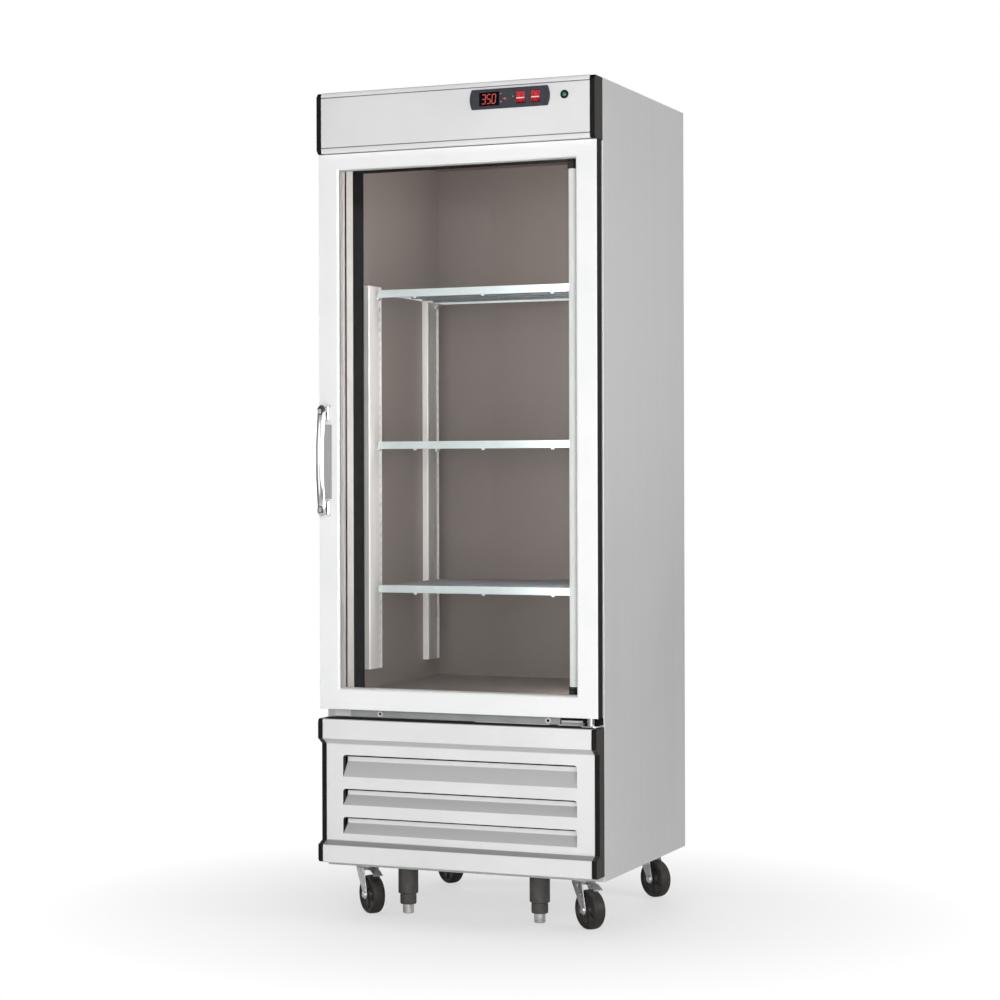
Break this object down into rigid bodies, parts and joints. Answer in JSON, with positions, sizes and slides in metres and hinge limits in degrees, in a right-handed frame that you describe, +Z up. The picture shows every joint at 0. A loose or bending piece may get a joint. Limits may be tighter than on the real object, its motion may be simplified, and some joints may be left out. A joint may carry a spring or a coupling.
{
  "type": "dry aging cabinet",
  "caption": "Upright dry aging refrigerator with a hinged glass door, wire shelves, a header with controls, a louvred lower panel and swivel casters.",
  "frame": {"origin": "middle of the footprint at floor level", "axes": "+Z up, the door faces -Y, +X to the right of someone facing the door"},
  "size_m": [0.743, 0.7679, 2.088],
  "materials": {
    "brushed_sheet": "fine brushed",
    "silver_sheet": "silver satin",
    "galvanised_sheet": "galvanised",
    "zinc_steel": "zinc plated",
    "chrome": "polished",
    "black_plastic": "moulded satin",
    "dark_plastic": "moulded satin",
    "charcoal_plastic": "moulded satin",
    "display_black": "glossy lens",
    "red_plastic": "glossy",
    "green_lens": "glossy lens in a black ring",
    "foam": "foamed insulation",
    "liner_enamel": "satin",
    "clear_glass": "clear",
    "gasket_rubber": "matt",
    "coated_wire": "plastic coated",
    "lamp_diffuser": "frosted",
    "aluminium_fins": "plain",
    "black_steel": "semi-gloss black",
    "tread": "satin",
    "light_grey_plastic": "moulded",
    "fan_blades": "pressed"
  },
  "bodies": {
    "cabinet": {"side_panel_left": "brushed_sheet", "side_panel_right": "brushed_sheet", "top_panel": "brushed_sheet", "rear_panel": "galvanised_sheet", "base_frame": "galvanised_sheet", "foam_insulation": "foam", "inner_liner": "liner_enamel", "front_breaker_frame": "black_plastic", "control_header": "silver_sheet", "header_end_cap_left": "black_plastic", "header_end_cap_right": "black_plastic", "controller_bezel": "charcoal_plastic", "controller_display": "display_black", "pilot_lamp": "green_lens", "louvre_panel": "silver_sheet", "grille_end_cap_left": "black_plastic", "grille_end_cap_right": "black_plastic", "sill_rail": "silver_sheet", "lower_hinge_bracket": "chrome", "lower_hinge_pin": "zinc_steel", "upper_hinge_bracket": "zinc_steel", "upper_hinge_pin": "zinc_steel", "shelf_top": "coated_wire", "shelf_middle": "coated_wire", "shelf_bottom": "coated_wire", "pilaster_front_left": "silver_sheet", "pilaster_front_right": "silver_sheet", "pilaster_rear_left": "silver_sheet", "pilaster_rear_right": "silver_sheet", "lamp_post": "lamp_diffuser", "compressor": "black_steel", "condenser_coil": "aluminium_fins", "condenser_fan_housing": "black_plastic", "rear_grille": "galvanised_sheet", "evaporator_cover": "galvanised_sheet", "evaporator_coil": "aluminium_fins", "leg_body_left": "dark_plastic", "leg_body_right": "dark_plastic"},
    "door": {"door_frame": "silver_sheet", "door_core_frame": "dark_plastic", "glass_outer_pane": "clear_glass", "glass_inner_pane": "clear_glass", "door_gasket": "gasket_rubber", "door_handle": "chrome"},
    "rocker_left": {"rocker_switch_left": "red_plastic"},
    "rocker_right": {"rocker_switch_right": "red_plastic"},
    "condenser_fan_rotor": {"condenser_fan": "fan_blades"},
    "evaporator_fan_rotor": {"evaporator_fan": "black_plastic"},
    "foot_left": {"leg_foot_left": "light_grey_plastic"},
    "foot_right": {"leg_foot_right": "light_grey_plastic"},
    "swivel_front_left": {"caster_fork_front_left": "zinc_steel"},
    "wheel_front_left": {"caster_wheel_front_left": "tread"},
    "pedal_front_left": {"brake_pedal_front_left": "zinc_steel"},
    "swivel_front_right": {"caster_fork_front_right": "zinc_steel"},
    "wheel_front_right": {"caster_wheel_front_right": "tread"},
    "pedal_front_right": {"brake_pedal_front_right": "zinc_steel"},
    "swivel_rear_left": {"caster_fork_rear_left": "zinc_steel"},
    "wheel_rear_left": {"caster_wheel_rear_left": "tread"},
    "swivel_rear_right": {"caster_fork_rear_right": "zinc_steel"},
    "wheel_rear_right": {"caster_wheel_rear_right": "tread"}
  },
  "joints": [
    {"name": "door_hinge", "type": "hinge", "parent": "cabinet", "child": "door", "pos_m": [0.348, -0.318, 1.23], "axis": [0, 0, 1], "range_deg": [0, 110], "stiffness_Nm_per_rad": 2.5, "springref_deg": -34.38},
    {"name": "rocker_left_tilt", "type": "hinge", "parent": "cabinet", "child": "rocker_left", "pos_m": [0.182, -0.345, 2.044], "axis": [1, 0, 0], "range_deg": [0, 12]},
    {"name": "rocker_right_tilt", "type": "hinge", "parent": "cabinet", "child": "rocker_right", "pos_m": [0.2205, -0.345, 2.044], "axis": [1, 0, 0], "range_deg": [0, 12]},
    {"name": "condenser_fan_spin", "type": "hinge", "parent": "cabinet", "child": "condenser_fan_rotor", "pos_m": [0, -0.2157, 0.2803], "axis": [0, 1, 0], "continuous": true},
    {"name": "evaporator_fan_spin", "type": "hinge", "parent": "cabinet", "child": "evaporator_fan_rotor", "pos_m": [0, -0.118, 1.9722], "axis": [0, 0, 1], "continuous": true},
    {"name": "swivel_front_left_turn", "type": "hinge", "parent": "cabinet", "child": "swivel_front_left", "pos_m": [-0.293, -0.218, 0.126], "axis": [0, 0, 1], "continuous": true},
    {"name": "wheel_front_left_roll", "type": "hinge", "parent": "swivel_front_left", "child": "wheel_front_left", "pos_m": [-0.27036, -0.23768, 0.04904], "axis": [0.6561, 0.7547, 0], "continuous": true},
    {"name": "brake_front_left_press", "type": "hinge", "parent": "swivel_front_left", "child": "pedal_front_left", "pos_m": [-0.27772, -0.23129, 0.1117], "axis": [0.6561, 0.7547, 0], "range_deg": [0, 14]},
    {"name": "swivel_front_right_turn", "type": "hinge", "parent": "cabinet", "child": "swivel_front_right", "pos_m": [0.293, -0.218, 0.126], "axis": [0, 0, 1], "continuous": true},
    {"name": "wheel_front_right_roll", "type": "hinge", "parent": "swivel_front_right", "child": "wheel_front_right", "pos_m": [0.31664, -0.23647, 0.04904], "axis": [0.6157, 0.788, 0], "continuous": true},
    {"name": "brake_front_right_press", "type": "hinge", "parent": "swivel_front_right", "child": "pedal_front_right", "pos_m": [0.30896, -0.23047, 0.1117], "axis": [0.6157, 0.788, 0], "range_deg": [0, 14]},
    {"name": "swivel_rear_left_turn", "type": "hinge", "parent": "cabinet", "child": "swivel_rear_left", "pos_m": [-0.293, 0.309, 0.126], "axis": [0, 0, 1], "continuous": true},
    {"name": "wheel_rear_left_roll", "type": "hinge", "parent": "swivel_rear_left", "child": "wheel_rear_left", "pos_m": [-0.26873, 0.29137, 0.04904], "axis": [0.5878, 0.809, 0], "continuous": true},
    {"name": "swivel_rear_right_turn", "type": "hinge", "parent": "cabinet", "child": "swivel_rear_right", "pos_m": [0.293, 0.309, 0.126], "axis": [0, 0, 1], "continuous": true},
    {"name": "wheel_rear_right_roll", "type": "hinge", "parent": "swivel_rear_right", "child": "wheel_rear_right", "pos_m": [0.31757, 0.29179, 0.04904], "axis": [0.5736, 0.8192, 0], "continuous": true},
    {"name": "leg_left_screw_down", "type": "slide", "parent": "cabinet", "child": "foot_left", "axis": [0, 0, -1], "range_m": [0, 0.02]},
    {"name": "leg_right_screw_down", "type": "slide", "parent": "cabinet", "child": "foot_right", "axis": [0, 0, -1], "range_m": [0, 0.02]}
  ]
}
